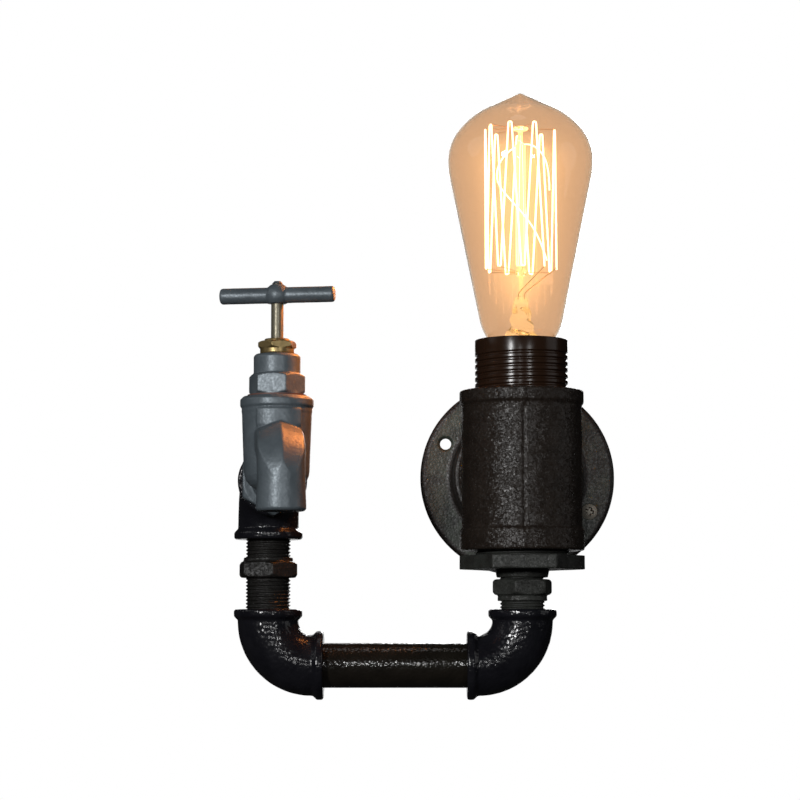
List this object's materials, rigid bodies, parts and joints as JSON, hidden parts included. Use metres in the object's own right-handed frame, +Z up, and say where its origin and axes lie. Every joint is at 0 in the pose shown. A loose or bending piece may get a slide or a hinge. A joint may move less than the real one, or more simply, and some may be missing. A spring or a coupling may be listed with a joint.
{
  "type": "pipe wall light",
  "caption": "Wall light made of black pipe fittings: bulb in an upright tee on a round flange, with a side run of pipe rising to a grey bib tap with a turning T-handle.",
  "frame": {"origin": "centre of the wall flange's back face, on the wall plane", "axes": "+Z up along the bulb's axis, +Y into the wall, -Y into the room, +X to the right as seen from the room"},
  "size_m": [0.2042, 0.1555, 0.3137],
  "materials": {
    "cast_black": "black painted casting, coarse pebbled, semi-gloss",
    "flange_black": "black painted casting, worn lighter on the plate",
    "fitting_black": "gloss black painted casting",
    "pipe_black": "gloss black painted pipe",
    "sleeve_plastic": "gloss black",
    "ceramic": "unglazed white",
    "ring_brass": "turned",
    "shell_metal": "rolled",
    "contact_brass": "pressed",
    "lead_brown": "insulation",
    "lead_blue": "insulation",
    "lead_green": "insulation",
    "tinned": "tinned",
    "block_plastic": "moulded",
    "amber_glass": "amber, clear",
    "stem_glass": "clear",
    "cap_metal": "rolled",
    "cap_black": "vitrified black",
    "solder": "solder",
    "filament_wire": "glowing",
    "support_wire": "drawn wire",
    "tap_grey": "blue-grey metallic paint",
    "fibre": "vulcanised fibre",
    "packing": "greased cord packing",
    "gland_brass": "satin, dulled",
    "valve_brass": "turned",
    "rubber": "washer"
  },
  "bodies": {
    "fixture": {"wall_flange": "flange_black", "close_nipple": "flange_black", "tee": "cast_black", "socket_sleeve": "sleeve_plastic", "holder_insert": "ceramic", "holder_ring": "ring_brass", "screw_shell": "shell_metal", "centre_contact": "contact_brass", "side_contact": "contact_brass", "holder_screws": "contact_brass", "live_lead": "lead_brown", "neutral_lead": "lead_blue", "earth_lead": "lead_green", "earth_lug": "tinned", "earth_screw": "contact_brass", "terminal_block": "block_plastic", "block_clamps": "contact_brass", "block_screws": "tinned", "reducing_bush": "cast_black", "right_nipple": "cast_black", "right_elbow": "fitting_black", "cross_pipe": "pipe_black", "left_elbow": "fitting_black", "left_nipple": "fitting_black", "upper_elbow": "fitting_black", "tap_body": "tap_grey", "bonnet_washer": "fibre", "tap_bonnet": "tap_grey", "gland_packing": "packing", "gland_nut": "gland_brass"},
    "bulb": {"bulb_glass": "amber_glass", "bulb_cap": "cap_metal", "cap_insulator": "cap_black", "cap_contact": "solder", "glass_stem": "stem_glass", "filament": "filament_wire", "filament_supports": "support_wire", "leadin_wires": "support_wire"},
    "valve": {"tap_jumper": "valve_brass", "jumper_washer": "rubber", "jumper_nut": "valve_brass"},
    "spindle": {"tap_spindle": "gland_brass", "tap_handle": "tap_grey", "handle_screw": "tap_grey"}
  },
  "joints": [
    {"name": "bulb_lift", "type": "slide", "parent": "fixture", "child": "bulb", "axis": [0, 0, 1], "range_m": [0, 0.035]},
    {"name": "valve_lift", "type": "slide", "parent": "fixture", "child": "valve", "axis": [0, 0, 1], "range_m": [0, 0.0045]},
    {"name": "spindle_turn", "type": "hinge", "parent": "valve", "child": "spindle", "pos_m": [-0.12305, -0.11455, 0.0837], "axis": [0, 0, 1], "range_deg": [0, 540]}
  ],
  "couplings": [
    {"joint": "valve_lift", "follows": "spindle_turn", "m_per_rad": 0.000477}
  ]
}
